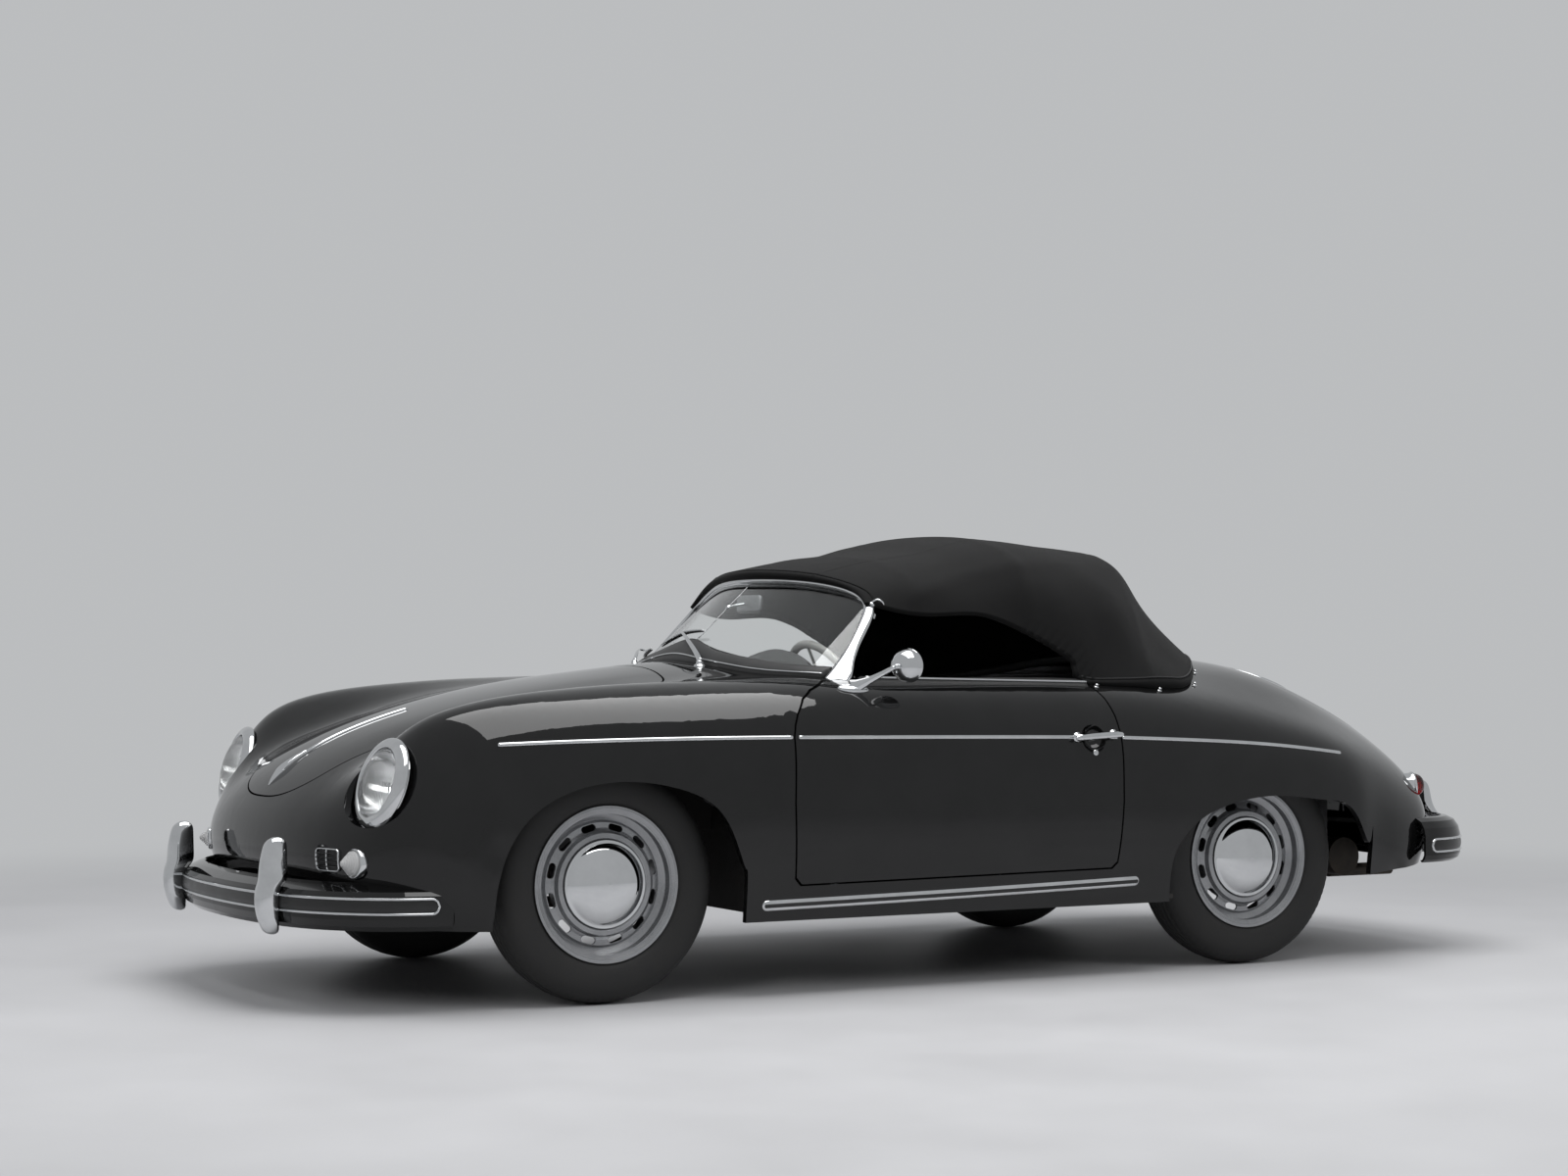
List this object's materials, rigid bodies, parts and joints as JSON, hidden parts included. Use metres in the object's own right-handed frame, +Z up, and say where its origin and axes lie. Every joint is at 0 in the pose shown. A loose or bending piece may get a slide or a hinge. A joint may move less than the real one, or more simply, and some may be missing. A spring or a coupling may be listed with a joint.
{
  "type": "sports car",
  "caption": "Open two-seat rear-engined sports car with a raised folding hood, low bowed windscreen, rounded wings, opening doors and lids, steering and rolling wheels.",
  "frame": {"origin": "on the ground under the centre of the whole car", "axes": "+X to the car's left, -Y towards the front, +Z up"},
  "size_m": [1.71, 3.968, 1.2654],
  "materials": {
    "paint_black": "gloss",
    "chrome": "polished",
    "glass": "clear",
    "hood_fabric": "woven",
    "tyre": "matt",
    "wheel_silver": "satin",
    "underbody": "matt",
    "iron": "matt",
    "alloy": "cast",
    "seat_leather": "grained",
    "dash_trim": "matt",
    "steel": "plain",
    "lamp_red": "clear"
  },
  "bodies": {
    "body": {"front_body": "paint_black", "rear_body": "paint_black", "sills": "paint_black", "floor_pan": "underbody", "windscreen_frame": "chrome", "windscreen_glass": "glass", "inside_mirror": "chrome", "hood": "hood_fabric", "hood_pane": "glass", "dashboard": "paint_black", "seat_left": "seat_leather", "seat_right": "seat_leather", "front_axle": "steel", "rear_axle": "steel", "engine": "alloy", "exhaust": "steel", "headlamps": "chrome", "turn_lamps": "glass", "tail_lamps": "lamp_red", "front_bumper": "paint_black", "rear_bumper": "paint_black", "front_overriders": "chrome", "rear_overriders": "chrome", "horn_grilles": "chrome", "wipers": "chrome"},
    "door_left": {"door_left": "paint_black", "door_handle_left": "chrome", "door_mirror": "chrome"},
    "door_right": {"door_right": "paint_black", "door_handle_right": "chrome"},
    "bonnet": {"bonnet": "paint_black", "bonnet_handle": "chrome"},
    "engine_lid": {"engine_lid": "paint_black"},
    "steering_wheel": {"steering_wheel": "dash_trim"},
    "knuckle_left": {"knuckle_left": "iron"},
    "knuckle_right": {"knuckle_right": "iron"},
    "wheel_front_left": {"tyre_front_left": "tyre", "rim_front_left": "wheel_silver", "hubcap_front_left": "chrome"},
    "wheel_front_right": {"tyre_front_right": "tyre", "rim_front_right": "wheel_silver", "hubcap_front_right": "chrome"},
    "wheel_rear_left": {"tyre_rear_left": "tyre", "rim_rear_left": "wheel_silver", "hubcap_rear_left": "chrome"},
    "wheel_rear_right": {"tyre_rear_right": "tyre", "rim_rear_right": "wheel_silver", "hubcap_rear_right": "chrome"}
  },
  "joints": [
    {"name": "steer_left", "type": "hinge", "parent": "body", "child": "knuckle_left", "pos_m": [0.56, -1.13, 0.316], "axis": [0, 0, 1], "range_deg": [-30, 30]},
    {"name": "door_left_swing", "type": "hinge", "parent": "body", "child": "door_left", "pos_m": [0.834, -0.622, 0.58], "axis": [0, 0, -1], "range_deg": [0, 62]},
    {"name": "steer_right", "type": "hinge", "parent": "body", "child": "knuckle_right", "pos_m": [-0.56, -1.13, 0.316], "axis": [0, 0, 1], "range_deg": [-30, 30]},
    {"name": "door_right_swing", "type": "hinge", "parent": "body", "child": "door_right", "pos_m": [-0.834, -0.622, 0.58], "axis": [0, 0, 1], "range_deg": [0, 62]},
    {"name": "spin_front_left", "type": "hinge", "parent": "knuckle_left", "child": "wheel_front_left", "pos_m": [0.653, -1.13, 0.316], "axis": [1, 0, 0], "continuous": true},
    {"name": "spin_front_right", "type": "hinge", "parent": "knuckle_right", "child": "wheel_front_right", "pos_m": [-0.653, -1.13, 0.316], "axis": [1, 0, 0], "continuous": true},
    {"name": "spin_rear_left", "type": "hinge", "parent": "body", "child": "wheel_rear_left", "pos_m": [0.636, 0.97, 0.316], "axis": [1, 0, 0], "continuous": true},
    {"name": "spin_rear_right", "type": "hinge", "parent": "body", "child": "wheel_rear_right", "pos_m": [-0.636, 0.97, 0.316], "axis": [1, 0, 0], "continuous": true},
    {"name": "bonnet_lift", "type": "hinge", "parent": "body", "child": "bonnet", "pos_m": [0, -0.742, 0.897], "axis": [-1, 0, 0], "range_deg": [0, 45]},
    {"name": "engine_lid_lift", "type": "hinge", "parent": "body", "child": "engine_lid", "pos_m": [0, 1.233, 0.902], "axis": [1, 0, 0], "range_deg": [0, 55]},
    {"name": "steering_wheel_turn", "type": "hinge", "parent": "body", "child": "steering_wheel", "pos_m": [0.35, -0.244, 0.764], "axis": [0, 0.9061, 0.423], "range_deg": [-420, 420]}
  ],
  "couplings": [
    {"joint": "steer_right", "follows": "steer_left", "ratio": 1},
    {"joint": "steering_wheel_turn", "follows": "steer_left", "ratio": 14}
  ]
}
